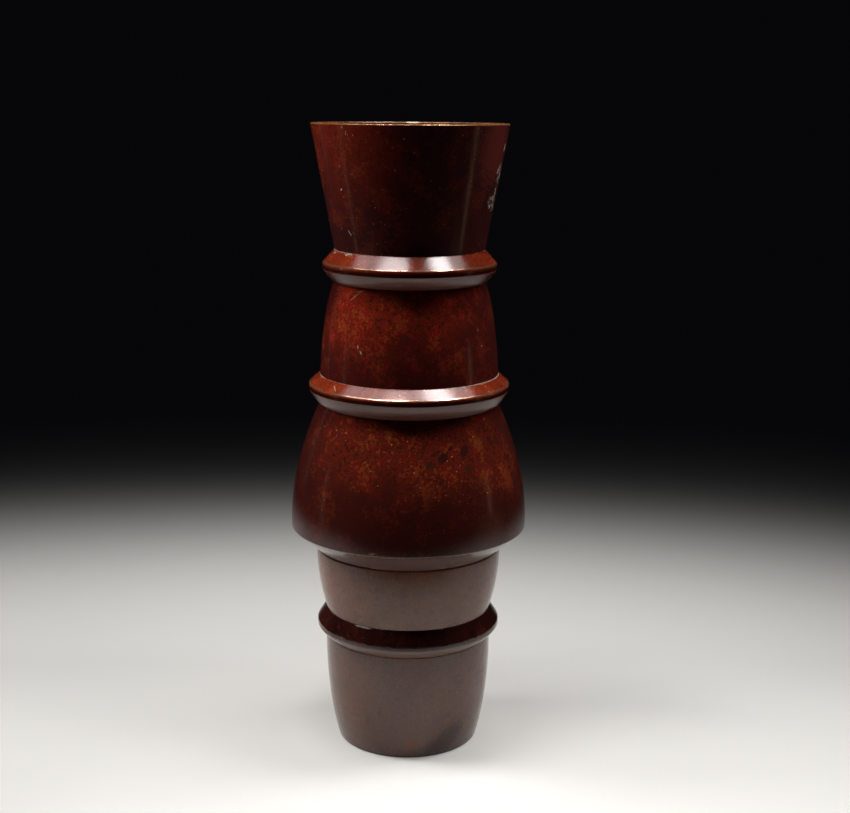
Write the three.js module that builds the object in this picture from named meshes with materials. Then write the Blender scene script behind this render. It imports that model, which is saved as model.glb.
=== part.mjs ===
// Bronze flower vase, cast in hollow sections that are turned true and brazed together.
// Millimetres, +Z up, origin on the table at the middle of the foot.
import * as THREE from 'three'

// Heights of the sections, each from the seam below it to the seam above it
const footHeight = 53.6
const lowerCollarHeight = 13.7
const waistHeight = 30.9
const skirtHeight = 9.8
const bellHeight = 60.9
const middleCollarHeight = 14.3
const upperDrumHeight = 43.7
const upperCollarHeight = 15.2
const mouthHeight = 57.9

// Outer radii of the walls at their seams and edges
const footRimRadius = 33.7
const footTopRadius = 40.3
const waistFootRadius = 40.2
const bellRimRadius = 56.8
const bellTopRadius = 42.9
const upperDrumFootRadius = 42.6
const upperDrumTopRadius = 35.8
const mouthFootRadius = 35.3
const lipRadius = 46.2

// The waist widens by this much, and the lower collar reaches as far, so that their edges line up
const waistFlare = 4.4

// How far each wall swells past the straight line between its edges,
// and where along that line, from its foot, the swell is centred
const footSwell = 2.1
const footSwellAt = 0.44
const waistSwell = 1.25
const waistSwellAt = 0.53
const bellSwell = 3.5
const bellSwellAt = 0.42
const upperDrumSwell = 1.5
const upperDrumSwellAt = 0.69

// Collars: height of the top bevel and of the upright band, and reach past the wall that stands on them
const lowerCollarBevel = 6.7
const lowerCollarBand = 2.3
const middleCollarReach = 5.3
const middleCollarBevel = 4.6
const middleCollarBand = 2.5
const upperCollarReach = 5.8
const upperCollarBevel = 6.2
const upperCollarBand = 2.8

// Castings and their joints
const wall = 3.2
const shoulder = 0.9
const spigotLength = 4.5
const fitClearance = 0.12
const endGap = 0.4
const lipRound = 0.9
const rimEdge = 0.7
const rimMetal = 2
const neckLip = 1.5
const seamGroove = 0.5

// Foot and base plate
const footRimWidth = 3.4
const footEdge = 0.5
const plateLedge = 1.6
const plateRecess = 3
const plateThickness = 3
const plateEdge = 0.6
const ledgeHeight = 2

// Facets: sides round the vase, steps along a wall's curve and round the lip
const sides = 60
const outerSteps = 6
const innerSteps = 4
const bellSteps = 8
const bellInnerSteps = 6
const lipSteps = 2

// Patina hides most of the metal's own shine
const patinaMetalness = 0.35

// Levels of the seams above the table
const lowerCollarLevel = footHeight
const waistLevel = lowerCollarLevel + lowerCollarHeight
const bellSeamLevel = waistLevel + waistHeight
const bellRimLevel = bellSeamLevel + skirtHeight
const middleCollarLevel = bellRimLevel + bellHeight
const upperDrumLevel = middleCollarLevel + middleCollarHeight
const upperCollarLevel = upperDrumLevel + upperDrumHeight
const mouthLevel = upperCollarLevel + upperCollarHeight
const lipLevel = mouthLevel + mouthHeight

// The bell's neck stands on the waist's top edge and has its radius
const waistTopRadius = waistFootRadius + waistFlare

// A socket takes the spigot of the wall that stands on it, with room round it and past its end
const socketDepth = spigotLength + endGap
const socketInset = shoulder - fitClearance

const point = (radius, level) => new THREE.Vector2(radius, level)

// Curved wall between two points, swollen outwards by a set amount
function wallCurve(foot, top, swell, swellAt, steps) {
  const along = top.clone().sub(foot)
  const outward = point(along.y, -along.x).normalize()
  const crown = foot.clone().addScaledVector(along, swellAt).addScaledVector(outward, 2 * swell)
  return new THREE.QuadraticBezierCurve(foot, crown, top).getPoints(steps)
}

// Spigot on top of a wall, walked from its outer shoulder to its inner edge
function topSpigot(radius, level) {
  return [
    point(radius - shoulder, level),
    point(radius - shoulder, level + spigotLength),
    point(radius - wall, level + spigotLength),
  ]
}

// Spigot under a wall, walked from its inner edge to its outer shoulder
function footSpigot(radius, level) {
  return [
    point(radius - wall, level - spigotLength),
    point(radius - shoulder, level - spigotLength),
    point(radius - shoulder, level),
  ]
}

// Quarter round between two faces that would meet square at the corner
function roundedCorner(centre, radius, fromAngle) {
  const arc = new THREE.EllipseCurve(centre.x, centre.y, radius, radius, fromAngle, fromAngle + Math.PI / 2)
  return arc.getPoints(lipSteps)
}

// A profile runs up the outside and down the inside, and closes on its first point
function turned(name, profile, colour, roughness) {
  const geometry = new THREE.LatheGeometry([...profile, profile[0].clone()], sides)
  geometry.rotateX(Math.PI / 2)
  const finish = { color: colour, roughness: roughness, metalness: patinaMetalness }
  const mesh = new THREE.Mesh(geometry, new THREE.MeshStandardMaterial(finish))
  mesh.name = name
  return mesh
}

// The plate is pushed up against the ledge in the foot, so it seats face to face
function basePlate() {
  const plateRadius = footRimRadius - footRimWidth - fitClearance
  const under = plateRecess
  const upper = plateRecess + plateThickness
  const profile = [
    point(0, under),
    point(plateRadius - plateEdge, under),
    point(plateRadius, under + plateEdge),
    point(plateRadius, upper),
  ]
  return turned('base_plate', [...profile, point(0, upper)], '#6b4634', 0.45)
}

// The wall is heavier towards the rim, which steadies a tall vase
function footDrum() {
  const rebateRadius = footRimRadius - footRimWidth
  const ledgeRadius = rebateRadius - plateLedge
  const ledgeLevel = plateRecess + plateThickness
  const outerFoot = point(footRimRadius, footEdge)
  const outerTop = point(footTopRadius, footHeight)
  const innerFoot = point(ledgeRadius, ledgeLevel + ledgeHeight)
  const innerTop = point(footTopRadius - wall, footHeight)
  const profile = [
    point(rebateRadius, 0),
    point(footRimRadius - footEdge, 0),
    ...wallCurve(outerFoot, outerTop, footSwell, footSwellAt, outerSteps),
    ...topSpigot(footTopRadius, footHeight),
    ...wallCurve(innerFoot, innerTop, footSwell, footSwellAt, innerSteps).reverse(),
    point(ledgeRadius, ledgeLevel),
    point(rebateRadius, ledgeLevel),
  ]
  return turned('foot_drum', profile, '#4b3129', 0.3)
}

function waistDrum() {
  const outerFoot = point(waistFootRadius, waistLevel)
  const outerTop = point(waistTopRadius, bellSeamLevel - seamGroove)
  const innerFoot = point(waistFootRadius - wall, waistLevel)
  const innerTop = point(waistTopRadius - wall, bellSeamLevel)
  const profile = [
    ...footSpigot(waistFootRadius, waistLevel),
    ...wallCurve(outerFoot, outerTop, waistSwell, waistSwellAt, outerSteps),
    point(waistTopRadius - seamGroove, bellSeamLevel),
    ...topSpigot(waistTopRadius, bellSeamLevel),
    ...wallCurve(innerFoot, innerTop, waistSwell, waistSwellAt, innerSteps).reverse(),
  ]
  return turned('waist_drum', profile, '#4a302a', 0.3)
}

// The skirt turns back under the rim to a neck, whose socket takes the waist's spigot
function bell() {
  const neckRadius = waistTopRadius
  const socketRadius = neckRadius - socketInset
  const socketTop = bellSeamLevel + socketDepth
  const outerRim = point(bellRimRadius, bellRimLevel + rimEdge)
  const outerTop = point(bellTopRadius, middleCollarLevel)
  const innerRim = point(bellRimRadius - wall, bellRimLevel + rimMetal)
  const innerTop = point(bellTopRadius - wall, middleCollarLevel)
  const profile = [
    point(socketRadius, bellSeamLevel),
    point(neckRadius, bellSeamLevel),
    point(bellRimRadius - rimEdge, bellRimLevel),
    ...wallCurve(outerRim, outerTop, bellSwell, bellSwellAt, bellSteps),
    ...topSpigot(bellTopRadius, middleCollarLevel),
    ...wallCurve(innerRim, innerTop, bellSwell, bellSwellAt, bellInnerSteps).reverse(),
    point(neckRadius - wall, socketTop + neckLip),
    point(neckRadius - wall, socketTop),
    point(socketRadius, socketTop),
  ]
  return turned('bell', profile, '#5a1f12', 0.22)
}

function upperDrum() {
  const outerFoot = point(upperDrumFootRadius, upperDrumLevel)
  const outerTop = point(upperDrumTopRadius, upperCollarLevel)
  const innerFoot = point(upperDrumFootRadius - wall, upperDrumLevel)
  const innerTop = point(upperDrumTopRadius - wall, upperCollarLevel)
  const profile = [
    ...footSpigot(upperDrumFootRadius, upperDrumLevel),
    ...wallCurve(outerFoot, outerTop, upperDrumSwell, upperDrumSwellAt, outerSteps),
    ...topSpigot(upperDrumTopRadius, upperCollarLevel),
    ...wallCurve(innerFoot, innerTop, upperDrumSwell, upperDrumSwellAt, innerSteps).reverse(),
  ]
  return turned('upper_drum', profile, '#6a2412', 0.22)
}

function mouthCone() {
  const innerLip = lipRadius - wall
  const outerRound = roundedCorner(point(lipRadius - lipRound, lipLevel - lipRound), lipRound, 0)
  const innerRound = roundedCorner(point(innerLip + lipRound, lipLevel - lipRound), lipRound, Math.PI / 2)
  const profile = [
    ...footSpigot(mouthFootRadius, mouthLevel),
    point(mouthFootRadius, mouthLevel),
    ...outerRound,
    ...innerRound,
  ]
  return turned('mouth_cone', profile, '#4f1a10', 0.22)
}

// Bevelled ring with a counterbore for the spigot above it and one for the spigot below it
function collar(name, level, height, lowerWallRadius, upperWallRadius, reach, bevel, band) {
  const top = level + height
  const rimRadius = upperWallRadius + reach
  const profile = [
    point(lowerWallRadius - socketInset, level),
    point(lowerWallRadius, level),
    point(rimRadius, top - bevel - band),
    point(rimRadius, top - bevel),
    point(upperWallRadius, top),
    point(upperWallRadius - socketInset, top),
    point(upperWallRadius - socketInset, top - socketDepth),
    point(upperWallRadius - wall, top - socketDepth),
    point(lowerWallRadius - wall, level + socketDepth),
    point(lowerWallRadius - socketInset, level + socketDepth),
  ]
  return turned(name, profile, '#5c1f12', 0.2)
}

const vase = new THREE.Group()
vase.add(basePlate())
vase.add(footDrum())
vase.add(collar('lower_collar', lowerCollarLevel, lowerCollarHeight, footTopRadius, waistFootRadius,
  waistFlare, lowerCollarBevel, lowerCollarBand))
vase.add(waistDrum())
vase.add(bell())
vase.add(collar('middle_collar', middleCollarLevel, middleCollarHeight, bellTopRadius, upperDrumFootRadius,
  middleCollarReach, middleCollarBevel, middleCollarBand))
vase.add(upperDrum())
vase.add(collar('upper_collar', upperCollarLevel, upperCollarHeight, upperDrumTopRadius, mouthFootRadius,
  upperCollarReach, upperCollarBevel, upperCollarBand))
vase.add(mouthCone())

export default vase
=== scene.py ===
import math

import bmesh
import bpy
from mathutils import Matrix, Vector


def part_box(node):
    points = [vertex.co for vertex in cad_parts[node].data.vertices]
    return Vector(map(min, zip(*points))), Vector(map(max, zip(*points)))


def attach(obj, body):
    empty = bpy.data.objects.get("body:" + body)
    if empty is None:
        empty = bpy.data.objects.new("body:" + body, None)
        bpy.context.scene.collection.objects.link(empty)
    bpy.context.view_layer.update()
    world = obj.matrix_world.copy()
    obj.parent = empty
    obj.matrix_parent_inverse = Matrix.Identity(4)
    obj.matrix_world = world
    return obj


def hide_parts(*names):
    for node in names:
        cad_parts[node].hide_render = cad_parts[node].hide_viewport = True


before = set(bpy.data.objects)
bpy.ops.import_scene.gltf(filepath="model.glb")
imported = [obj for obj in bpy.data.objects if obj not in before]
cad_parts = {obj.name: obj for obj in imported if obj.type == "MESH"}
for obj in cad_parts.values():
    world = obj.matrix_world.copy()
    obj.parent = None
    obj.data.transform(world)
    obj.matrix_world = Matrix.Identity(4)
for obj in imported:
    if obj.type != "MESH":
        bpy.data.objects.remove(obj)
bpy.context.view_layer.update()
mm = 0.001

# Camera
# It stands in front of the vase and a little above the lip, and looks down past its shoulder.
# Its place, aim and lens come from the outlines of the rings in the photograph.
camera_place = Vector((0, -656.3, 308.9)) * mm
camera_pitch = math.radians(12.26)
camera_yaw = math.radians(0.67)
camera_roll = math.radians(0.43)
image_width = 850
focal_pixels = 1395
sensor_width = 36

camera_data = bpy.data.cameras.new("camera")
camera_data.sensor_width = sensor_width
camera_data.lens = focal_pixels * sensor_width / image_width
camera_data.clip_start = 0.01
camera = bpy.data.objects.new("camera", camera_data)
turn = Matrix.Rotation(-camera_yaw, 4, "Z") @ Matrix.Rotation(math.pi / 2 - camera_pitch, 4, "X")
camera.matrix_world = Matrix.Translation(camera_place) @ turn @ Matrix.Rotation(camera_roll, 4, "Z")
bpy.context.scene.collection.objects.link(camera)
bpy.context.scene.camera = camera
bpy.context.scene.view_settings.view_transform = "Standard"

# Lamps
# Broad lamps above and at both sides light the vase but don't show in it. Level soft boxes high above
# show only in its gloss, and so do weak strips beside it and behind it.
lamp_aim = Vector((0, 0, 0.2))
ceiling_height = 2.035
light_gap = 0.05
right_turn = -23
side_distance = 1.4
strip_distance = 0.45
strip_elevation = -7.7
low_strip_elevation = -20.8
left_strip_azimuth = -87
right_strip_azimuth = 81
strip_colour = (1.0, 0.6, 0.35)
plain_white = (1, 1, 1)


def lamp(name, place, turn, size, radiance, shines, colour=plain_white):
    """A rectangular lamp. One that shines shows only in gloss; the others only give light."""
    data = bpy.data.lights.new(name, "AREA")
    data.color = colour
    data.shape = "RECTANGLE"
    data.size, data.size_y = size
    data.energy = radiance * math.pi * size[0] * size[1]
    holder = bpy.data.objects.new(name, data)
    holder.matrix_world = Matrix.Translation(place) @ turn
    holder.visible_camera = False
    holder.visible_glossy = shines
    holder.visible_diffuse = not shines
    bpy.context.scene.collection.objects.link(holder)


def overhead_lamp(name, place, size, radiance, shines, turned_by=0):
    """A level lamp that faces straight down, turned in plan. One that only gives light hangs higher."""
    turn = Matrix.Rotation(math.radians(turned_by), 4, "Z")
    height = ceiling_height if shines else ceiling_height + light_gap
    lamp(name, Vector((*place, height)), turn, size, radiance, shines)


def side_lamp(name, azimuth, elevation, size, radiance, shines, distance=side_distance,
              colour=plain_white):
    """A lamp turned to the vase; azimuth 0 is the camera's side and 90 the right."""
    around, upward = math.radians(azimuth), math.radians(elevation)
    level_part = distance * math.cos(upward)
    offset = Vector((math.sin(around) * level_part, -math.cos(around) * level_part,
                     math.sin(upward) * distance))
    turn = (-offset).to_track_quat("-Z", "Y").to_matrix().to_4x4()
    lamp(name, lamp_aim + offset, turn, size, radiance, shines, colour)


def warm_strip(name, azimuth, elevation, size, radiance):
    """A small warm lamp close to the vase, which shows in its gloss."""
    side_lamp(name, azimuth, elevation, size, radiance, shines=True, distance=strip_distance,
              colour=strip_colour)


overhead_lamp("left_overhead", place=(-0.387, -0.24), size=(0.774, 0.432), radiance=15.5, shines=False)
overhead_lamp("right_overhead", place=(0.648, 0), size=(1.08, 0.54), radiance=11, shines=False,
              turned_by=right_turn)
overhead_lamp("left_soft_box", place=(-0.53, -0.36), size=(0.95, 0.40), radiance=15.5, shines=True)
overhead_lamp("left_back_box", place=(-0.51, -0.03), size=(0.95, 0.26), radiance=3.5, shines=True)
overhead_lamp("left_far_box", place=(-1.10, 0.40), size=(0.9, 0.9), radiance=3.0, shines=True)
overhead_lamp("middle_box", place=(0.10, -0.06), size=(0.26, 0.30), radiance=10, shines=True)
overhead_lamp("right_soft_box", place=(0.70, -0.03), size=(1.0, 0.54), radiance=22, shines=True,
              turned_by=right_turn)
overhead_lamp("right_far_box", place=(1.1, 0.45), size=(0.8, 0.7), radiance=3.4, shines=True)
side_lamp("left_fill", azimuth=-95, elevation=42, size=(0.4, 0.5), radiance=17, shines=False)
side_lamp("right_fill", azimuth=105, elevation=42, size=(0.5, 0.5), radiance=6.2, shines=False)
warm_strip("left_strip", left_strip_azimuth, strip_elevation, size=(0.010, 0.12), radiance=1.0)
warm_strip("left_low_strip", left_strip_azimuth, low_strip_elevation, size=(0.018, 0.08), radiance=0.45)
warm_strip("right_strip", right_strip_azimuth, strip_elevation, size=(0.018, 0.12), radiance=1.0)
warm_strip("right_low_strip", right_strip_azimuth, low_strip_elevation, size=(0.24, 0.08), radiance=0.10)
side_lamp("back_strip", azimuth=-126, elevation=5, size=(0.03, 0.9), radiance=0.25, shines=True)

# Floor
# A pale sheet with a pool of light painted into its colour, brightest just in front of the vase. The
# painted light fades out behind the vase, to the sides and short of the camera, with painted shade behind
# the vase and on its left. The sheet also glows a little for the camera and in gloss, and it gives less
# light back to the vase than it shows.
sheet_radius = 3.0
sheet_sides = 96
pool_centre = (-0.06, 0, 0)
pool_stretch = 1.6
pool_reach = 0.332
pool_falloff = 3.7
haze_share = 0.04
haze_spread = 0.25
side_bright = 0.30
side_dark = 0.62
left_start = -0.04
left_end = -0.24
left_dimming = 0.08
front_start = 0.12
front_end = -0.03
front_left_dimming = 0.14
dip_start = -0.04
dip_end = 0.09
dip_depth = 0.355
near_dark = -0.42
near_bright = -0.08
sheet_colour = (0.72, 0.703, 0.672)
sheet_glow = (0.19, 0.186, 0.178)
sheet_bounce = 0.45
backdrop_colour = (0.002, 0.002, 0.0025)


def link(tree, socket, value):
    """Fills an input with a value, or joins it to another node's output."""
    if isinstance(value, bpy.types.NodeSocket):
        tree.links.new(value, socket)
    else:
        socket.default_value = value


def add(tree, kind, inputs=None, **settings):
    """Adds a shader node with its settings and inputs."""
    node = tree.nodes.new("ShaderNode" + kind)
    for name, value in settings.items():
        setattr(node, name, value)
    for name, value in (inputs or {}).items():
        link(tree, node.inputs[name], value)
    return node


def reckon(tree, operation, *values):
    """One step of arithmetic."""
    return add(tree, "Math", dict(enumerate(values)), operation=operation).outputs[0]


def vector(tree, operation, *values):
    """One step of vector arithmetic."""
    return add(tree, "VectorMath", dict(enumerate(values)), operation=operation).outputs[0]


def length(tree, value):
    """The length of a vector."""
    return add(tree, "VectorMath", {0: value}, operation="LENGTH").outputs["Value"]


def tint(tree, share, first, second, way="MIX"):
    """Mixes the second colour into the first by a share."""
    return add(tree, "Mix", {0: share, 6: first, 7: second}, data_type="RGBA", blend_type=way).outputs[2]


def fade(tree, value, start, end):
    """Rises softly from 0 at start to 1 at end."""
    limits = {"Value": value, "From Min": start, "From Max": end}
    return add(tree, "MapRange", limits, interpolation_type="SMOOTHSTEP").outputs[0]


def alike(tree, value):
    """A vector with the same value along each axis."""
    return add(tree, "CombineXYZ", dict(enumerate([value] * 3))).outputs[0]


def channel(tree, colour, index):
    """One channel of a colour, or one axis of a place."""
    return add(tree, "SeparateXYZ", {0: colour}).outputs[index]


def opaque(colour):
    """A colour with its alpha."""
    return (*colour, 1)


sheet_mesh = bmesh.new()
bmesh.ops.create_circle(sheet_mesh, cap_ends=True, segments=sheet_sides, radius=sheet_radius)
floor_data = bpy.data.meshes.new("floor")
sheet_mesh.to_mesh(floor_data)
sheet_mesh.free()
floor = bpy.data.objects.new("floor", floor_data)
bpy.context.scene.collection.objects.link(floor)

floor_material = bpy.data.materials.new("pooled_sheet")
floor_material.use_nodes = True
tree = floor_material.node_tree
shader = tree.nodes["Principled BSDF"]
sheet_place = add(tree, "TexCoord").outputs["Object"]
sheet_x = channel(tree, sheet_place, 0)
sheet_y = channel(tree, sheet_place, 1)
# Painted pool of light in the sheet's colour.
from_centre = vector(tree, "SUBTRACT", sheet_place, pool_centre)
distance = length(tree, vector(tree, "DIVIDE", from_centre, (pool_stretch * pool_reach, pool_reach, 1)))
falling = reckon(tree, "MULTIPLY", reckon(tree, "POWER", distance, pool_falloff), -1.0)
painted_pool = reckon(tree, "EXPONENT", falling)
haze = reckon(tree, "POWER", painted_pool, haze_spread)
painted_pool = reckon(tree, "MULTIPLY_ADD", haze, haze_share, painted_pool)
sideways = reckon(tree, "ABSOLUTE", sheet_x)
painted_pool = reckon(tree, "MULTIPLY", painted_pool, fade(tree, sideways, side_dark, side_bright))
# Painted shade on the left of the sheet, deepest in front.
painted_dimming = fade(tree, sheet_y, front_start, front_end)
painted_dimming = reckon(tree, "MULTIPLY_ADD", painted_dimming, front_left_dimming, left_dimming)
painted_dimming = reckon(tree, "MULTIPLY", fade(tree, sheet_x, left_start, left_end), painted_dimming)
painted_pool = reckon(tree, "MULTIPLY", painted_pool, reckon(tree, "SUBTRACT", 1.0, painted_dimming))
# Painted shade behind the vase.
painted_dip = reckon(tree, "MULTIPLY_ADD", fade(tree, sheet_y, dip_start, dip_end), -dip_depth, 1.0)
painted_pool = reckon(tree, "MULTIPLY", painted_pool, painted_dip)
# The painted light dims towards the camera.
painted_pool = alike(tree, reckon(tree, "MULTIPLY", painted_pool, fade(tree, sheet_y, near_dark, near_bright)))
seen = add(tree, "LightPath").outputs
shown = reckon(tree, "MAXIMUM", seen["Is Camera Ray"], seen["Is Glossy Ray"])
shown = reckon(tree, "MAXIMUM", shown, seen["Is Transmission Ray"])
spread = vector(tree, "MULTIPLY", painted_pool, sheet_colour)
bounce = alike(tree, reckon(tree, "MULTIPLY_ADD", shown, 1 - sheet_bounce, sheet_bounce))
link(tree, shader.inputs["Base Color"], vector(tree, "MULTIPLY", spread, bounce))
# The sheet glows for the camera and in gloss, though it is no lamp.
glow = vector(tree, "MULTIPLY", painted_pool, sheet_glow)
link(tree, shader.inputs["Emission Color"], vector(tree, "ADD", glow, backdrop_colour))
link(tree, shader.inputs["Emission Strength"], shown)
shader.inputs["Roughness"].default_value = 1.0
shader.inputs["Specular IOR Level"].default_value = 0.0
floor_data.materials.append(floor_material)

world = bpy.data.worlds.new("studio")
bpy.context.scene.world = world
world.use_nodes = True
world.node_tree.nodes["Background"].inputs["Color"].default_value = opaque(backdrop_colour)

# Base plate
# A flat cast disc closes the foot from below. It is set in a rebate, 3 mm up from the rim.
# Its patina is thin and rubbed, so pinkish brown metal shows through.
round_sides = 160
edge_ease = 0.3 * mm
ease_steps = 3
sharp_turn = math.radians(12)
join_distance = 1e-6
shading_weight = 90


def turned(name, profile, material, inner_material=None, eases=()):
    """Turns a closed profile, walked up the outside and down the inside, and eases its sharp edges.
    Eases gives the points of the profile that get an ease of their own."""
    shape = bmesh.new()
    verts = [shape.verts.new((radius, 0, level)) for radius, level in profile]
    edges = [shape.edges.new(pair) for pair in zip(verts, verts[1:] + verts[:1])]
    bmesh.ops.spin(shape, geom=verts + edges, cent=(0, 0, 0), axis=(0, 0, 1), dvec=(0, 0, 0),
                   angle=math.tau, steps=round_sides, use_merge=True)
    bmesh.ops.remove_doubles(shape, verts=shape.verts, dist=join_distance)
    bmesh.ops.recalc_face_normals(shape, faces=shape.faces)
    hoops = {edge_ease: []}
    for edge in shape.edges:
        ends = [Vector((vert.co.xy.length, vert.co.z)) for vert in edge.verts]
        if (ends[0] - ends[1]).length > join_distance or edge.calc_face_angle(0) < sharp_turn:
            continue
        own = [ease for point, ease in eases if (Vector(point) - ends[0]).length < join_distance]
        hoops.setdefault(own[0] if own else edge_ease, []).append(edge)
    for ease, hoop in hoops.items():
        bmesh.ops.bevel(shape, geom=hoop, offset=ease, offset_type="OFFSET", segments=ease_steps,
                        profile=0.5, affect="EDGES", material=-1, clamp_overlap=True)
    for face in shape.faces:
        face.smooth = True
        if inner_material and face.normal.xy.dot(face.calc_center_median().xy) < 0:
            face.material_index = 1
    data = bpy.data.meshes.new(name)
    shape.to_mesh(data)
    shape.free()
    piece = bpy.data.objects.new(name, data)
    bpy.context.scene.collection.objects.link(piece)
    data.materials.append(material)
    if inner_material:
        data.materials.append(inner_material)
    even = piece.modifiers.new("even shading", "WEIGHTED_NORMAL")
    even.weight = shading_weight
    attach(piece, "root")
    return piece


def grain(tree, place, size, detail=2.0, roughness=0.5):
    """Cloudy noise, about 0.5 on average, with features of a given size."""
    spread = vector(tree, "DIVIDE", place, size)
    inputs = {"Vector": spread, "Scale": 1.0, "Detail": detail, "Roughness": roughness}
    return add(tree, "TexNoise", inputs).outputs[0]


def centred(tree, value):
    """Shifts a value that is about 0.5 on average to about 0."""
    return reckon(tree, "SUBTRACT", value, 0.5)


def effect(name, inputs, outputs):
    """Starts a node group with named inputs and outputs."""
    group = bpy.data.node_groups.new(name, "ShaderNodeTree")
    for socket_name, kind in inputs.items():
        group.interface.new_socket(name=socket_name, in_out="INPUT", socket_type="NodeSocket" + kind)
    for socket_name, kind in outputs.items():
        group.interface.new_socket(name=socket_name, in_out="OUTPUT", socket_type="NodeSocket" + kind)
    given = group.nodes.new("NodeGroupInput").outputs
    results = group.nodes.new("NodeGroupOutput").inputs
    return group, given, results


def placed(tree, group, inputs):
    """Places a node group and fills its inputs."""
    node = tree.nodes.new("ShaderNodeGroup")
    node.node_tree = group
    for name, value in inputs.items():
        link(tree, node.inputs[name], value)
    return node.outputs


# Mottling: soft crimson patches, small ember flecks, soot pits, fine grit and small bright specks over a
# ground colour. A slow cloud gathers them. An input sets the flake size; grit and specks are in mm.
cloud_size = (5, 5, 5)
grit_size = (0.6, 0.6, 0.6)
grit_contrast = (2.4, 5.0, 5.0)
grit_darkest = (0.3, 0.2, 0.2)
grit_roughness = 0.10
wax_roughness = 0.17
speck_spacing = (1.5, 1.5, 1.5)
speck_gathering = 1.2
speck_edge = (0.78, 0.95)
speck_radius = 0.06
speck_growth = 0.14
speck_softness = 0.04
speck_height = 0.5
speck_metal = (0.72, 0.44, 0.28)

mottling, given, results = effect(
    "mottling",
    {"Place": "Vector", "Ground": "Color", "Ember": "Color", "Crimson": "Color", "Soot": "Color",
     "Flake Size": "Float", "Strength": "Float", "Specks": "Float"},
    {"Color": "Color", "Roughness": "Float", "Height": "Float"})
strength = given["Strength"]
flakes = vector(mottling, "DIVIDE", given["Place"], alike(mottling, given["Flake Size"]))
cloud = centred(mottling, grain(mottling, flakes, cloud_size))
grit = centred(mottling, grain(mottling, given["Place"], grit_size, detail=4.0, roughness=0.7))


def scattered(shift, size, detail, roughness, gathering):
    """Noise for one kind of flake, at its own place and size, more or less gathered by the cloud."""
    noise = grain(mottling, vector(mottling, "ADD", flakes, shift), size, detail, roughness)
    return reckon(mottling, "MULTIPLY_ADD", cloud, gathering, noise)


def covering(noise, start, end):
    """The share of the ground that one kind of flake covers."""
    return reckon(mottling, "MULTIPLY", fade(mottling, noise, start, end), strength)


patches = scattered(shift=(31, 7, 3), size=(1.5, 1.5, 1.5), detail=6.0, roughness=0.66, gathering=0.5)
flecks = scattered(shift=(5, 43, 17), size=(0.8, 0.8, 0.8), detail=5.0, roughness=0.65, gathering=0.75)
pits = scattered(shift=(13, 2, 59), size=(1.0, 1.0, 1.0), detail=5.0, roughness=0.66, gathering=0.4)
crimson = covering(patches, start=0.51, end=0.60)
ember = covering(flecks, start=0.55, end=0.63)
soot = covering(pits, start=0.43, end=0.37)
speck_place = vector(mottling, "DIVIDE", given["Place"], speck_spacing)
dots = add(mottling, "TexVoronoi", {"Vector": speck_place, "Scale": 1.0}).outputs
chosen = reckon(mottling, "MULTIPLY_ADD", cloud, speck_gathering, channel(mottling, dots["Color"], 1))
reach = reckon(mottling, "MULTIPLY_ADD", channel(mottling, dots["Color"], 2), speck_growth, speck_radius)
outside = reckon(mottling, "SUBTRACT", dots["Distance"], reach)
speck = reckon(mottling, "MULTIPLY", fade(mottling, chosen, *speck_edge),
               fade(mottling, outside, speck_softness, 0.0))
speck = reckon(mottling, "MULTIPLY", speck, reckon(mottling, "MULTIPLY", given["Specks"], strength))
colour = tint(mottling, crimson, given["Ground"], given["Crimson"])
colour = tint(mottling, ember, colour, given["Ember"])
colour = tint(mottling, soot, colour, given["Soot"])
shade = alike(mottling, reckon(mottling, "MULTIPLY", grit, strength))
shade = vector(mottling, "MULTIPLY_ADD", shade, grit_contrast, (1, 1, 1))
colour = tint(mottling, 1.0, colour, vector(mottling, "MAXIMUM", shade, grit_darkest), "MULTIPLY")
colour = tint(mottling, speck, colour, opaque(speck_metal))
relief = reckon(mottling, "MULTIPLY_ADD", speck, speck_height, reckon(mottling, "ADD", pits, grit))
link(mottling, results["Color"], colour)
link(mottling, results["Roughness"], reckon(mottling, "MULTIPLY_ADD", grit, grit_roughness, wax_roughness))
link(mottling, results["Height"], relief)

# Warm side: a soft mask over the part of a piece that faces one way and lies above one level. Mottle uses
# it to mark the lit side and paints shade outside it; soil uses it to put dirt on the sides.
wander_size = (16, 16, 16)
wander_round = 0.9
wander_up = 32.0

warm_side, given, results = effect(
    "warm_side", {"Place": "Vector", "Azimuth": "Float", "Cool Edge": "Float", "Warm Edge": "Float",
                  "Low": "Float", "High": "Float"}, {"Mask": "Float"})
azimuth = reckon(warm_side, "RADIANS", given["Azimuth"])
backwards = reckon(warm_side, "COSINE", azimuth)
towards = add(warm_side, "CombineXYZ", {0: reckon(warm_side, "SINE", azimuth),
                                        1: reckon(warm_side, "MULTIPLY", backwards, -1.0)}).outputs[0]
outward = vector(warm_side, "NORMALIZE", vector(warm_side, "MULTIPLY", given["Place"], (1, 1, 0)))
facing = add(warm_side, "VectorMath", {0: outward, 1: towards}, operation="DOT_PRODUCT").outputs["Value"]
wander = centred(warm_side, grain(warm_side, given["Place"], wander_size, detail=4.0))
facing = reckon(warm_side, "MULTIPLY_ADD", wander, wander_round, facing)
level = reckon(warm_side, "MULTIPLY_ADD", wander, wander_up, channel(warm_side, given["Place"], 2))
link(warm_side, results["Mask"], reckon(
    warm_side, "MULTIPLY", fade(warm_side, facing, given["Cool Edge"], given["Warm Edge"]),
    fade(warm_side, level, given["Low"], given["High"])))

# Ragged band: a mask round the vase at one level, for rubbed edges and for dirt in a corner.
grain_weight = 1.6
near_weight = 0.6
band_start = (1.75, 1.93)
band_fading = 0.25

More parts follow.
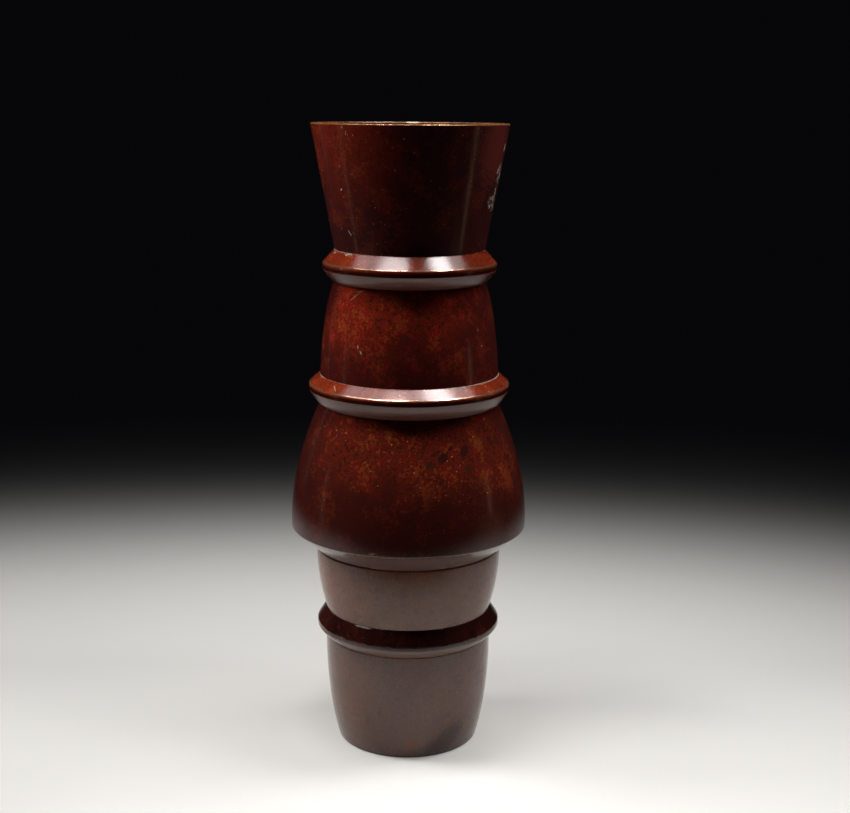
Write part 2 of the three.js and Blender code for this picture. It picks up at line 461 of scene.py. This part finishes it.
ragged_band, given, results = effect(
    "ragged_band",
    {"Place": "Vector", "Level": "Float", "Width": "Float", "Cover": "Float", "Grain": "Float"},
    {"Mask": "Float"})
above = reckon(ragged_band, "SUBTRACT", channel(ragged_band, given["Place"], 2), given["Level"])
away = reckon(ragged_band, "DIVIDE", reckon(ragged_band, "ABSOLUTE", above), given["Width"])
near = reckon(ragged_band, "MAXIMUM", reckon(ragged_band, "SUBTRACT", 1.0, away), 0.0)
grain_size = alike(ragged_band, given["Grain"])
ragged = grain(ragged_band, given["Place"], grain_size, detail=4.0, roughness=0.65)
worn = reckon(ragged_band, "MULTIPLY_ADD", ragged, grain_weight,
              reckon(ragged_band, "MULTIPLY", near, near_weight))
worn = reckon(ragged_band, "ADD", worn, given["Cover"])
link(ragged_band, results["Mask"], reckon(ragged_band, "MULTIPLY", fade(ragged_band, worn, *band_start),
                                          fade(ragged_band, near, 0.0, band_fading)))

# Mark: a ragged spot or scratch at one azimuth and level, long and thin or round, whole or broken into
# grit. Its length, width and level are in millimetres.
mark_grain = (0.7, 0.7, 0.7)
mark_edge = (1.05, 0.7)
crumb_edge = (0.50, 0.58)

mark, given, results = effect(
    "mark", {"Place": "Vector", "Azimuth": "Float", "Level": "Float", "Length": "Float", "Width": "Float",
             "Tilt": "Float", "Ragged": "Float", "Broken": "Float", "Crumb": "Float"}, {"Mask": "Float"})
axes = add(mark, "SeparateXYZ", {0: given["Place"]}).outputs
angle = reckon(mark, "ARCTAN2", axes[0], reckon(mark, "MULTIPLY", axes[1], -1.0))
angle = reckon(mark, "SUBTRACT", angle, reckon(mark, "RADIANS", given["Azimuth"]))
angle = reckon(mark, "WRAP", angle, math.pi, -math.pi)
across = reckon(mark, "MULTIPLY", angle, length(mark, vector(mark, "MULTIPLY", given["Place"], (1, 1, 0))))
rise = reckon(mark, "SUBTRACT", axes[2], given["Level"])
flat = add(mark, "CombineXYZ", {0: across, 1: rise}).outputs[0]
rolled = add(mark, "VectorRotate", {"Vector": flat, "Angle": reckon(mark, "RADIANS", given["Tilt"])},
             rotation_type="Z_AXIS", invert=True).outputs[0]
size = add(mark, "CombineXYZ", {0: given["Length"], 1: given["Width"], 2: 1.0}).outputs[0]
reach = length(mark, vector(mark, "DIVIDE", rolled, vector(mark, "MULTIPLY", size, (0.5, 0.5, 1))))
rough_edge = centred(mark, grain(mark, given["Place"], mark_grain, detail=4.0, roughness=0.7))
reach = reckon(mark, "MULTIPLY_ADD", rough_edge, given["Ragged"], reach)
crumbs = grain(mark, given["Place"], alike(mark, given["Crumb"]), detail=3.0, roughness=0.6)
crumbs = fade(mark, crumbs, *crumb_edge)
whole = reckon(mark, "SUBTRACT", 1.0, given["Broken"])
crumbs = reckon(mark, "MULTIPLY_ADD", crumbs, given["Broken"], whole)
link(mark, results["Mask"], reckon(mark, "MULTIPLY", fade(mark, reach, *mark_edge), crumbs))

# Tool lines: the fine rings that the lathe and the polishing cloth leave round a turned face.
line_size = (30, 30, 0.3)

tool_lines, given, results = effect("tool_lines", {"Place": "Vector"}, {"Height": "Float"})
rings = grain(tool_lines, given["Place"], line_size, detail=3.0, roughness=0.6)
link(tool_lines, results["Height"], rings)

seam_dirt = (0.42, 0.34, 0.25)
seam_reach = {"cool_edge": 0.35, "warm_edge": 0.75, "low": -90, "high": -80}
dirt_roughness = 0.5
shaded_flake_share = 0.2
mottle_depth = 0.35
bump_depth = 0.02 * mm
wax_ior = 1.5


class Patina:
    """The finish of one piece, put on in layers and waxed last."""

    def __init__(self, name):
        self.material = bpy.data.materials.new(name)
        self.material.use_nodes = True
        self.tree = self.material.node_tree
        place = add(self.tree, "TexCoord").outputs["Object"]
        self.place = vector(self.tree, "MULTIPLY", place, (1 / mm,) * 3)
        self.metal = 0.0

    def mask(self, group, **inputs):
        """A mask over the piece, made by one of the effects above."""
        named = {name.replace("_", " ").title(): value for name, value in inputs.items()}
        return placed(self.tree, group, {"Place": self.place, **named})[0]

    def mottle(self, ground, ember, crimson, soot, flake_size, strength, specks, shaded=None, lit=None):
        """Lays the ground colour and its flakes. Shaded is painted shade: a darker ground outside the lit
        side, with fewer flakes.
        """
        ground = opaque(ground)
        if shaded:
            share = self.mask(warm_side, **lit)
            ground = tint(self.tree, share, opaque(shaded), ground)
            share = reckon(self.tree, "MULTIPLY_ADD", share, 1 - shaded_flake_share, shaded_flake_share)
            strength = reckon(self.tree, "MULTIPLY", share, strength)
        layer = placed(self.tree, mottling, {
            "Place": self.place, "Ground": ground, "Ember": opaque(ember), "Crimson": opaque(crimson),
            "Soot": opaque(soot), "Flake Size": flake_size, "Strength": strength, "Specks": specks})
        self.colour, self.rough = layer["Color"], layer["Roughness"]
        self.height = reckon(self.tree, "MULTIPLY", layer["Height"], mottle_depth)

    def line(self, depth, stain=0.0):
        """Adds the rings that the turning left behind, with darker wax in them."""
        rings = self.mask(tool_lines)
        self.height = reckon(self.tree, "MULTIPLY_ADD", rings, depth, self.height)
        if stain:
            shade = reckon(self.tree, "MULTIPLY_ADD", centred(self.tree, rings), stain, 1.0)
            self.colour = tint(self.tree, 1.0, self.colour, alike(self.tree, shade), "MULTIPLY")

    def tone(self, low, high, colour):
        """Changes the colour between two levels, upwards or downwards."""
        share = fade(self.tree, channel(self.tree, self.place, 2), low, high)
        self.colour = tint(self.tree, share, self.colour, opaque(colour))

    def rub(self, colour, bare, **band):
        """Rubs the patina through to metal along an edge, which it leaves more or less bare."""
        share = self.mask(ragged_band, **band)
        self.colour = tint(self.tree, share, self.colour, opaque(colour))
        self.metal = reckon(self.tree, "MAXIMUM", self.metal, reckon(self.tree, "MULTIPLY", share, bare))

    def soil(self, towards, **band):
        """Leaves pale dirt in a corner, on both sides of one azimuth."""
        share = self.mask(ragged_band, **band)
        side = self.mask(warm_side, azimuth=towards, **seam_reach)
        share = reckon(self.tree, "MULTIPLY", share, side)
        self.colour = tint(self.tree, share, self.colour, opaque(seam_dirt))
        self.rough = reckon(self.tree, "MULTIPLY_ADD", share, dirt_roughness, self.rough)
        self.height = reckon(self.tree, "ADD", share, self.height)

    def spot(self, azimuth, level, length, width, tilt, ragged, colour, broken=0.0, crumb=0.7):
        """Adds one mark at an azimuth in degrees and a level in mm. A broken one is a scatter of crumbs."""
        share = self.mask(mark, azimuth=azimuth, level=level, length=length, width=width, tilt=tilt,
                          ragged=ragged, broken=broken, crumb=crumb)
        self.colour = tint(self.tree, share, self.colour, opaque(colour))
        self.height = reckon(self.tree, "SUBTRACT", self.height, share)

    def wax(self, dulled=0.0):
        """Joins the layers to the shader, under a waxed gloss."""
        shader = self.tree.nodes["Principled BSDF"]
        link(self.tree, shader.inputs["Base Color"], self.colour)
        link(self.tree, shader.inputs["Roughness"], reckon(self.tree, "ADD", self.rough, dulled))
        link(self.tree, shader.inputs["Metallic"], self.metal)
        bump = add(self.tree, "Bump", {"Height": self.height, "Distance": bump_depth, "Strength": 1.0})
        link(self.tree, shader.inputs["Normal"], bump.outputs[0])
        shader.inputs["IOR"].default_value = wax_ior
        return self.material


plate_low, plate_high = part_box("base_plate")
plate_radius = plate_high.x
plate_edge = 0.6 * mm

plate_finish = Patina("base_bronze")
plate_finish.mottle(ground=(0.30, 0.13, 0.085), ember=(0.52, 0.27, 0.16), crimson=(0.45, 0.20, 0.13),
                    soot=(0.10, 0.055, 0.045), flake_size=4.0, strength=0.9, specks=0.5)
plate_finish.line(depth=0.8)
plate = turned("base_plate_turned", [
    (0, plate_low.z),
    (plate_radius - plate_edge, plate_low.z),
    (plate_radius, plate_low.z + plate_edge),
    (plate_radius, plate_high.z),
    (0, plate_high.z),
], plate_finish.wax(dulled=0.2))
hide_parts("base_plate")

# Foot drum
# A barrel-shaped cast wall, heavier at the rim it stands on. The plate seats on a ledge inside it, and its
# top spigot goes into the lower collar. Its patina is a quiet brown with an orange stain low on it. A
# painted dark reflection lies low on its right, and a painted contact shadow darkens it where it stands.
wall = 3.2 * mm
shoulder = 0.9 * mm
spigot_length = 4.5 * mm
fit_clearance = 0.12 * mm
end_gap = 0.4 * mm
socket_inset = shoulder - fit_clearance
socket_depth = spigot_length + end_gap
wall_steps = 24

foot_rim_radius = 34.4 * mm
foot_rim_width = 4.1 * mm
foot_edge = 0.5 * mm
foot_top_radius = 40.3 * mm
foot_swell = 1.85 * mm
foot_swell_at = 0.44
plate_ledge = 1.6 * mm
ledge_height = 2 * mm
foot_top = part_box("lower_collar")[0].z
rebate_radius = foot_rim_radius - foot_rim_width
ledge_radius = rebate_radius - plate_ledge

inside_finish = Patina("cast_bronze")
inside_finish.mottle(ground=(0.10, 0.045, 0.02), ember=(0.20, 0.10, 0.05), crimson=(0.16, 0.06, 0.03),
                     soot=(0.03, 0.018, 0.012), flake_size=5.0, strength=0.9, specks=0.3)
cast_bronze = inside_finish.wax(dulled=0.3)

painted_dark_reflection = (0.10, 0.036, 0.028)
orange_stain = (0.27, 0.072, 0.028)
pale_fleck = (0.30, 0.13, 0.06)
painted_contact_shadow = (0.05, 0.018, 0.012)
contact_shadow_height = 1.5
foot_finish = Patina("foot_patina")
foot_finish.mottle(ground=(0.215, 0.094, 0.065), ember=(0.26, 0.106, 0.058),
                   crimson=(0.215, 0.082, 0.058), soot=(0.14, 0.070, 0.052),
                   flake_size=6.0, strength=0.55, specks=0.3)
# Painted dark reflection, low on the right of the foot.
foot_finish.spot(28, 6.5, length=32, width=13, tilt=43, ragged=3.0, colour=painted_dark_reflection)
foot_finish.spot(1.8, 7.5, length=9, width=6, tilt=30, ragged=3.0, colour=orange_stain)
foot_finish.spot(-7.2, 38.8, length=1.6, width=1.2, tilt=60, ragged=1.0, colour=pale_fleck)
# Painted contact shadow where the foot stands.
foot_finish.tone(contact_shadow_height, contact_shadow_height / 2, painted_contact_shadow)
foot_finish.line(depth=0.3, stain=0.4)


def swollen(foot, top, swell, swell_at, steps=wall_steps):
    """Points up a wall that swells past the straight line between its edges."""
    foot, top = Vector(foot), Vector(top)
    along = top - foot
    outward = Vector((along.y, -along.x)).normalized()
    crown = foot + along * swell_at + outward * 2 * swell
    shares = [step / steps for step in range(steps + 1)]
    return [tuple(foot * (1 - t) ** 2 + crown * 2 * t * (1 - t) + top * t ** 2) for t in shares]


def top_spigot(radius, level):
    """Spigot on top of a wall, from its outer shoulder to its inner edge."""
    return [(radius - shoulder, level), (radius - shoulder, level + spigot_length),
            (radius - wall, level + spigot_length)]


def foot_spigot(radius, level):
    """Spigot under a wall, from its inner edge to its outer shoulder."""
    return [(radius - wall, level - spigot_length), (radius - shoulder, level - spigot_length),
            (radius - shoulder, level)]


foot_drum = turned("foot_drum_turned", [
    (rebate_radius, 0),
    (foot_rim_radius - foot_edge, 0),
    *swollen((foot_rim_radius, foot_edge), (foot_top_radius, foot_top), foot_swell, foot_swell_at),
    *top_spigot(foot_top_radius, foot_top),
    *swollen((ledge_radius, plate_high.z + ledge_height), (foot_top_radius - wall, foot_top),
             foot_swell, foot_swell_at)[::-1],
    (ledge_radius, plate_high.z),
    (rebate_radius, plate_high.z),
], foot_finish.wax(), cast_bronze)
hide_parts("foot_drum")

# Lower collar
# A bevelled ring, turned with a counterbore above and one below for the spigots that are brazed into it.
# It is darkest on its bevel, where its ground colour is painted nearly black as shade under the bell.
# Below its band it is browner, partly its own colour and partly a painted reflection of the floor. A
# painted glint lies in the corner above it.
waist_foot_radius = 40.2 * mm
waist_flare = 4.4 * mm
under_swell = 0.3 * mm
bevel_swell = 0.03 * mm
collar_swell_at = 0.5
collar_steps = 8
band_edge = 0.45 * mm
lower_bevel = 6.7 * mm
lower_band = 2.3 * mm


def collar(node, lower_radius, upper_radius, reach, bevel, band, material):
    """One collar between two walls; its rim stands out past the upper wall by its reach."""
    low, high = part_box(node)
    level, top = low.z, high.z
    rim = upper_radius + reach
    piece = turned(node + "_turned", [
        (lower_radius - socket_inset, level),
        *swollen((lower_radius, level), (rim, top - bevel - band),
                 under_swell, collar_swell_at, collar_steps),
        *swollen((rim, top - bevel), (upper_radius, top), bevel_swell, collar_swell_at, collar_steps),
        (upper_radius - socket_inset, top),
        (upper_radius - socket_inset, top - socket_depth),
        (upper_radius - wall, top - socket_depth),
        (lower_radius - wall, level + socket_depth),
        (lower_radius - socket_inset, level + socket_depth),
    ], material, cast_bronze, [((rim, top - bevel), band_edge)])
    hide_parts(node)


def collar_levels(node, bevel, band):
    """The levels of a collar's top, of the rim under its bevel and of the foot of its band, in mm."""
    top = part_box(node)[1].z / mm
    rim = top - bevel / mm
    return top, rim, rim - band / mm


worn_edge = (0.46, 0.28, 0.19)
painted_corner_glint = (0.70, 0.62, 0.54)
under_brown_and_reflection = (0.24, 0.113, 0.082)
corner_drop = 0.35
tone_depth = 1.2
lower_top_level, lower_rim_level, lower_band_foot = collar_levels("lower_collar", lower_bevel, lower_band)
lower_finish = Patina("lower_collar_patina")
# The ground colour is painted nearly black as shade under the bell.
lower_finish.mottle(ground=(0.038, 0.008, 0.006), ember=(0.09, 0.018, 0.009), crimson=(0.07, 0.011, 0.008),
                    soot=(0.016, 0.006, 0.005), flake_size=4.0, strength=0.6, specks=0.3)
# Browner under the band, partly its colour and partly a painted reflection of the floor.
lower_finish.tone(lower_band_foot + tone_depth, lower_band_foot, under_brown_and_reflection)
lower_finish.rub(worn_edge, bare=0.75, level=lower_rim_level, width=0.4, cover=0.55, grain=3.0)
# Painted glint in the corner above the collar.
lower_finish.spot(-32, lower_top_level - corner_drop, length=11, width=0.7, tilt=0, ragged=1.0,
                  colour=painted_corner_glint, broken=0.6)
lower_finish.line(depth=0.3)
collar("lower_collar", foot_top_radius, waist_foot_radius, waist_flare, lower_bevel, lower_band,
       lower_finish.wax())

# Waist drum
# A short cast wall that widens up to the bell, with a spigot at each end and a fine groove at the upper
# seam. Its patina is an even brown.
waist_top_radius = waist_foot_radius + waist_flare
waist_swell = 1.25 * mm
waist_swell_at = 0.53
seam_groove = 0.5 * mm
waist_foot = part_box("lower_collar")[1].z
waist_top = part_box("bell")[0].z

waist_finish = Patina("waist_patina")
waist_finish.mottle(ground=(0.32, 0.124, 0.076), ember=(0.40, 0.156, 0.080), crimson=(0.31, 0.110, 0.070),
                    soot=(0.19, 0.078, 0.055), flake_size=6.0, strength=0.6, specks=0.4)
waist_finish.line(depth=0.5, stain=0.4)
waist_drum = turned("waist_drum_turned", [
    *foot_spigot(waist_foot_radius, waist_foot),
    *swollen((waist_foot_radius, waist_foot), (waist_top_radius, waist_top - seam_groove),
             waist_swell, waist_swell_at),
    (waist_top_radius - seam_groove, waist_top),
    *top_spigot(waist_top_radius, waist_top),
    *swollen((waist_foot_radius - wall, waist_foot), (waist_top_radius - wall, waist_top),
             waist_swell, waist_swell_at)[::-1],
], waist_finish.wax(), cast_bronze)
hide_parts("waist_drum")

# Bell
# The widest casting. Its skirt turns back under the rim to a neck, whose socket takes the waist's spigot.
# Red flakes crowd under its shoulder, with dark scales, olive spots and an orange patch among them. Its
# sides and lower part are painted darker as shade, down to a rim that is rubbed and chipped.
skirt_height = 9.8 * mm
bell_rim_radius = 56.8 * mm
bell_top_radius = 42.9 * mm
bell_swell = 3.5 * mm
bell_swell_at = 0.42
rim_edge = 0.7 * mm
rim_metal = 2 * mm
neck_lip = 1.5 * mm
bell_rim = waist_top + skirt_height
bell_rim_level = bell_rim / mm
bell_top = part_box("middle_collar")[0].z
neck_socket = waist_top_radius - socket_inset
neck_top = waist_top + socket_depth

rim_tone_start = 0.4
rim_tone_end = -0.3
skirt_brown = (0.15, 0.050, 0.034)
orange_patch = (0.26, 0.065, 0.016)
dark_scale = (0.055, 0.012, 0.012)
olive_spot = (0.075, 0.022, 0.009)
chipped_metal = (0.40, 0.22, 0.10)
rubbed_metal = (0.56, 0.27, 0.13)
bell_finish = Patina("bell_patina")
# The shaded ground is painted shade on the sides and the lower part.
bell_finish.mottle(ground=(0.140, 0.017, 0.009), ember=(0.26, 0.052, 0.012), crimson=(0.20, 0.012, 0.010),
                   soot=(0.055, 0.014, 0.008), flake_size=2.2, strength=0.85, specks=1.0,
                   shaded=(0.066, 0.011, 0.008),
                   lit={"azimuth": 6, "cool_edge": 0.1, "warm_edge": 0.8, "low": 130, "high": 150})
bell_finish.tone(bell_rim_level + rim_tone_start, bell_rim_level + rim_tone_end, skirt_brown)
bell_finish.spot(41.2, 157.0, length=7.0, width=4.0, tilt=30, ragged=3.0, colour=orange_patch, broken=0.6)
bell_finish.spot(18.4, 152.6, length=6.6, width=4.0, tilt=35, ragged=1.4, colour=dark_scale)
bell_finish.spot(31.3, 154.6, length=7.2, width=4.2, tilt=50, ragged=1.4, colour=dark_scale)
bell_finish.spot(22.9, 156.4, length=3.0, width=2.0, tilt=30, ragged=1.4, colour=dark_scale)
bell_finish.spot(11.0, 149.6, length=5.0, width=3.4, tilt=10, ragged=2.4, colour=olive_spot)
bell_finish.spot(32.7, 146.6, length=4.6, width=3.4, tilt=0, ragged=2.4, colour=olive_spot)
bell_finish.spot(-16.6, 109.6, length=4.4, width=1.6, tilt=0, ragged=2.2, colour=chipped_metal, broken=0.7)
bell_finish.spot(-15.4, 109.2, length=1.6, width=1.0, tilt=20, ragged=1.0, colour=dark_scale)
bell_finish.rub(rubbed_metal, bare=0.6, level=bell_rim_level, width=0.6, cover=0.5, grain=2.5)
bell = turned("bell_turned", [
    (neck_socket, waist_top),
    (waist_top_radius, waist_top),
    (bell_rim_radius - rim_edge, bell_rim),
    *swollen((bell_rim_radius, bell_rim + rim_edge), (bell_top_radius, bell_top),
             bell_swell, bell_swell_at),
    *top_spigot(bell_top_radius, bell_top),
    *swollen((bell_rim_radius - wall, bell_rim + rim_metal), (bell_top_radius - wall, bell_top),
             bell_swell, bell_swell_at)[::-1],
    (waist_top_radius - wall, neck_top + neck_lip),
    (waist_top_radius - wall, neck_top),
    (neck_socket, neck_top),
], bell_finish.wax(), cast_bronze)
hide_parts("bell")

# Middle collar
# The same kind of ring as the lower one, shallower and wider. It is red, with painted shade making it
# nearly black round its band, its rim rubbed to metal, dirt in the corner above it and one pale scratch.
drum_foot_radius = 42.6 * mm
middle_reach = 5.3 * mm
middle_bevel = 4.6 * mm
middle_band = 2.5 * mm

left_side = -85
right_side = 85
rub_rise = 0.35
painted_band_shade = (0.04, 0.006, 0.004)
under_red = (0.26, 0.068, 0.044)
scratch_metal = (0.50, 0.32, 0.22)


def red_collar_finish(name, rim_level, band_foot):
    """The finish that the middle and upper collars share, before their own dirt and marks."""
    finish = Patina(name)
    finish.mottle(ground=(0.26, 0.030, 0.009), ember=(0.42, 0.075, 0.014), crimson=(0.36, 0.030, 0.011),
                  soot=(0.07, 0.013, 0.009), flake_size=2.2, strength=0.5, specks=2.0)
    # Painted shade makes the band nearly black.
    finish.tone(rim_level, band_foot + tone_depth, painted_band_shade)
    finish.tone(band_foot + edge_ease / mm, band_foot, under_red)
    finish.rub(worn_edge, bare=0.75, level=rim_level + rub_rise, width=0.5, cover=0.75, grain=2.5)
    return finish


middle_top_level, middle_rim_level, middle_band_foot = collar_levels(
    "middle_collar", middle_bevel, middle_band)
middle_finish = red_collar_finish("middle_collar_patina", middle_rim_level, middle_band_foot)
middle_finish.soil(left_side, level=middle_top_level, width=0.35, cover=0.55, grain=0.8)
middle_finish.soil(right_side, level=middle_top_level, width=0.5, cover=0.65, grain=0.9)
middle_finish.spot(-49, 181, length=5, width=0.5, tilt=-25, ragged=0.6, colour=scratch_metal)
middle_finish.line(depth=0.8, stain=1.0)
collar("middle_collar", bell_top_radius, drum_foot_radius, middle_reach, middle_bevel, middle_band,
       middle_finish.wax())

# Upper drum
# A cast wall that rounds in to a narrower top, with a spigot at each end. It has the reddest patina,
# painted darker as shade away from its left front and low down, a painted shadow of the upper collar on its
# left shoulder, a curved scratch near its top and four bright nicks.
drum_top_radius = 35.8 * mm
drum_swell = 1.5 * mm
drum_swell_at = 0.69
drum_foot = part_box("middle_collar")[1].z
drum_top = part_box("upper_collar")[0].z

painted_collar_shadow = (0.09, 0.010, 0.007)
nick_metal = (0.70, 0.58, 0.50)
red_patch = (0.50, 0.030, 0.014)
drum_finish = Patina("drum_patina")
# The shaded ground is painted shade away from the left front and low down.
drum_finish.mottle(ground=(0.25, 0.023, 0.010), ember=(0.36, 0.070, 0.018), crimson=(0.42, 0.018, 0.014),
                   soot=(0.080, 0.019, 0.010), flake_size=2.0, strength=0.85, specks=0.4,
                   shaded=(0.09, 0.012, 0.009),
                   lit={"azimuth": -30, "cool_edge": 0.0, "warm_edge": 0.75, "low": 190, "high": 216})
# Painted shadow of the upper collar on the left shoulder.
drum_finish.spot(-82, 222, length=28, width=34, tilt=0, ragged=2.0, colour=painted_collar_shadow)
drum_finish.spot(-43, 222.5, length=6.5, width=0.28, tilt=38, ragged=0.3, colour=scratch_metal)
drum_finish.spot(-38, 225.4, length=4.5, width=0.25, tilt=8, ragged=0.3, colour=scratch_metal)
drum_finish.spot(-34.5, 201.0, length=1.7, width=0.55, tilt=-80, ragged=0.5, colour=nick_metal)
drum_finish.spot(-32.1, 198.6, length=2.0, width=0.5, tilt=-55, ragged=0.5, colour=nick_metal)
drum_finish.spot(53.9, 200.1, length=1.6, width=0.6, tilt=-20, ragged=0.8, colour=scratch_metal)
drum_finish.spot(50.9, 207.8, length=1.2, width=0.5, tilt=70, ragged=0.8, colour=scratch_metal)
drum_finish.spot(-60.6, 202.8, length=6.0, width=4.0, tilt=60, ragged=3.0, colour=red_patch, broken=0.6)
upper_drum = turned("upper_drum_turned", [
    *foot_spigot(drum_foot_radius, drum_foot),
    *swollen((drum_foot_radius, drum_foot), (drum_top_radius, drum_top), drum_swell, drum_swell_at),
    *top_spigot(drum_top_radius, drum_top),
    *swollen((drum_foot_radius - wall, drum_foot), (drum_top_radius - wall, drum_top),
             drum_swell, drum_swell_at)[::-1],
], drum_finish.wax(), cast_bronze)
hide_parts("upper_drum")

# Upper collar
# The highest ring, with the tallest bevel, finished as the middle one. Pale dirt and grit sit in the
# corner where the mouth cone stands on it.
mouth_foot_radius = 35.3 * mm
upper_reach = 5.8 * mm
upper_bevel = 6.2 * mm
upper_band = 2.8 * mm

pale_grit = (0.95, 0.88, 0.80)
upper_top_level, upper_rim_level, upper_band_foot = collar_levels("upper_collar", upper_bevel, upper_band)
upper_finish = red_collar_finish("upper_collar_patina", upper_rim_level, upper_band_foot)
upper_finish.soil(left_side, level=upper_top_level, width=0.6, cover=0.6, grain=0.7)
upper_finish.soil(right_side, level=upper_top_level, width=0.35, cover=0.45, grain=0.8)
upper_finish.spot(-74, 241.2, length=5, width=1.4, tilt=0, ragged=2.0, colour=pale_grit, broken=1.0)
upper_finish.spot(-51, 241.4, length=7, width=1.3, tilt=0, ragged=2.0, colour=pale_grit, broken=1.0)
upper_finish.line(depth=0.8, stain=1.0)
collar("upper_collar", drum_top_radius, mouth_foot_radius, upper_reach, upper_bevel, upper_band,
       upper_finish.wax())

# Mouth cone
# A straight flared wall, red on its left side and painted nearly black as shade in front, on its right and
# low down, with a dull red patch and old pale scuffs on its right side and small flecks on its left. Its
# lip is rounded, and rubbed through to yellow metal in spots.
mouth_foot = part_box("upper_collar")[1].z
lip_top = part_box("mouth_cone")[1].z
lip_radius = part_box("mouth_cone")[1].x
lip_level = lip_top / mm
lip_round = 0.6 * mm

lip_tone_start = 0.8
lip_tone_end = 0.2
lip_highlight_drop = 0.4
dull_red = (0.24, 0.042, 0.034)
lip_brown = (0.36, 0.110, 0.022)
gilt_metal = (0.85, 0.52, 0.25)
scuff = (0.95, 0.87, 0.70)
fleck = (0.55, 0.40, 0.30)
painted_lip_highlight = (0.90, 0.75, 0.50)
mouth_finish = Patina("mouth_patina")
# The shaded ground is painted shade in front, on the right and low down.
mouth_finish.mottle(ground=(0.31, 0.033, 0.015), ember=(0.37, 0.066, 0.018), crimson=(0.35, 0.024, 0.016),
                    soot=(0.12, 0.016, 0.012), flake_size=2.6, strength=0.75, specks=3.0,
                    shaded=(0.074, 0.017, 0.016),
                    lit={"azimuth": -62, "cool_edge": 0.2, "warm_edge": 0.8, "low": 246, "high": 316})
mouth_finish.spot(62, 290, length=34, width=30, tilt=80, ragged=3.0, colour=dull_red, broken=0.3)
mouth_finish.tone(lip_level - lip_tone_start, lip_level - lip_tone_end, lip_brown)
mouth_finish.rub(gilt_metal, bare=0.9, level=lip_level, width=0.8, cover=0.50, grain=1.0)
mouth_finish.soil(left_side, level=mouth_foot / mm, width=0.6, cover=0.6, grain=0.7)
mouth_finish.spot(75, 278, length=9, width=9, tilt=80, ragged=1.8, colour=scuff, broken=1.0, crumb=1.5)
mouth_finish.spot(75, 271, length=9, width=4, tilt=80, ragged=1.8, colour=scuff, broken=1.0, crumb=1.5)
mouth_finish.spot(71, 264.5, length=7, width=12, tilt=75, ragged=1.8, colour=scuff, broken=1.0, crumb=1.3)
mouth_finish.spot(76, 289.5, length=3.6, width=1.4, tilt=80, ragged=1.2, colour=scuff)
mouth_finish.spot(-40.5, 298.6, length=1.8, width=0.5, tilt=80, ragged=0.5, colour=fleck)
mouth_finish.spot(-38.6, 296, length=2.2, width=0.45, tilt=75, ragged=0.8, colour=fleck)
mouth_finish.spot(-47, 251.6, length=3.4, width=0.7, tilt=-55, ragged=1.2, colour=fleck)
mouth_finish.spot(-49, 271, length=1.4, width=0.8, tilt=40, ragged=0.8, colour=scuff)

# The throat is painted darker downwards all round as shade deep inside it, so its edges of facing lie below
# any that occurs. A painted highlight sits on its far lip.
throat_finish = Patina("mouth_inside")
# The shaded ground is painted shade low in the throat.
throat_finish.mottle(ground=(0.18, 0.060, 0.022), ember=(0.36, 0.15, 0.05), crimson=(0.25, 0.07, 0.03),
                     soot=(0.06, 0.022, 0.012), flake_size=2.4, strength=0.9, specks=0.6,
                     shaded=(0.07, 0.03, 0.015),
                     lit={"azimuth": 0, "cool_edge": -3, "warm_edge": -2, "low": 262, "high": 290})
# Painted highlight on the far lip.
throat_finish.spot(178.8, lip_level - lip_highlight_drop, length=7, width=1.4, tilt=0, ragged=0.6,
                   colour=painted_lip_highlight)
throat_finish.rub(gilt_metal, bare=0.9, level=lip_level, width=0.8, cover=0.25, grain=1.0)
mouth_cone = turned("mouth_cone_turned", [
    *foot_spigot(mouth_foot_radius, mouth_foot),
    (mouth_foot_radius, mouth_foot),
    (lip_radius, lip_top),
    (lip_radius - wall, lip_top),
], mouth_finish.wax(), throat_finish.wax(dulled=0.1),
    [((lip_radius, lip_top), lip_round), ((lip_radius - wall, lip_top), lip_round)])
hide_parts("mouth_cone")
